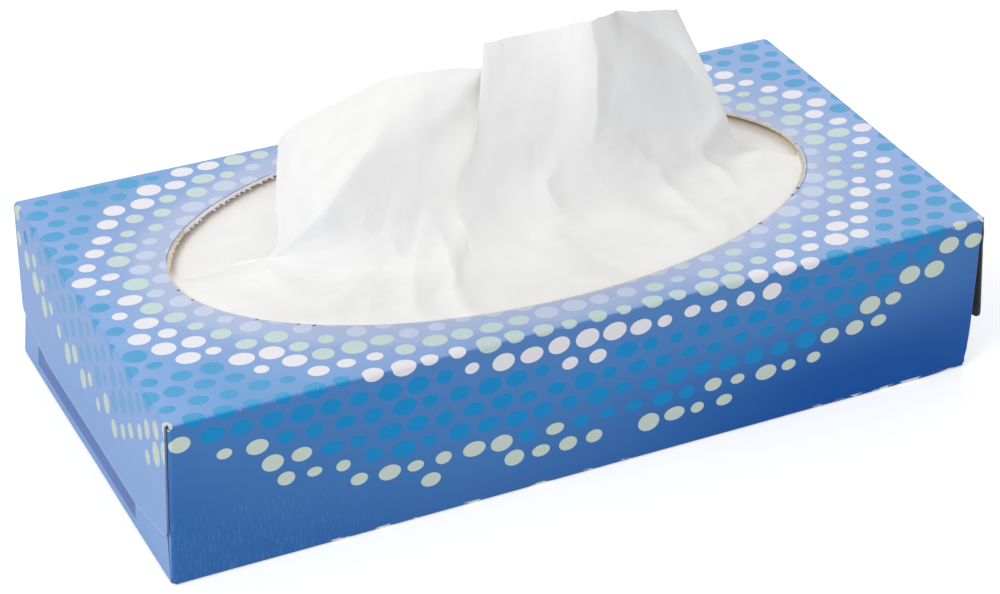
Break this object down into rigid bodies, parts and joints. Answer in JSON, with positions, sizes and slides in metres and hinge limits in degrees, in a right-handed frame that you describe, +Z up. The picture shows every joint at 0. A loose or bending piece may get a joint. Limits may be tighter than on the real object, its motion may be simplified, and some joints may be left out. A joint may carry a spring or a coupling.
{
  "type": "tissue box",
  "caption": "Flat folded-board tissue box with an oval top opening, a pile of folded tissues inside, one tissue pulled up and a loose end flap.",
  "frame": {"origin": "middle of the carton's bottom face", "axes": "+X along the box towards the loose end flap, +Y from the front panel to the back, +Z up"},
  "size_m": [0.2329, 0.1146, 0.0994],
  "materials": {
    "printed_board": "printed and lightly varnished board",
    "flap_board": "printed outside, bare grey board inside",
    "pile_paper": "soft tissue, folded edges",
    "tissue_paper": "soft two-ply tissue"
  },
  "bodies": {
    "box": {"carton": "printed_board", "tissue_pile": "pile_paper", "pulled_tissue": "tissue_paper"},
    "loose_flap": {"end_flap": "flap_board"}
  },
  "joints": [
    {"name": "end_flap_crease", "type": "hinge", "parent": "box", "child": "loose_flap", "pos_m": [0.115, 0, 0.04615], "axis": [0, -1, 0], "range_deg": [-4, 165], "stiffness_Nm_per_rad": 0.002}
  ]
}
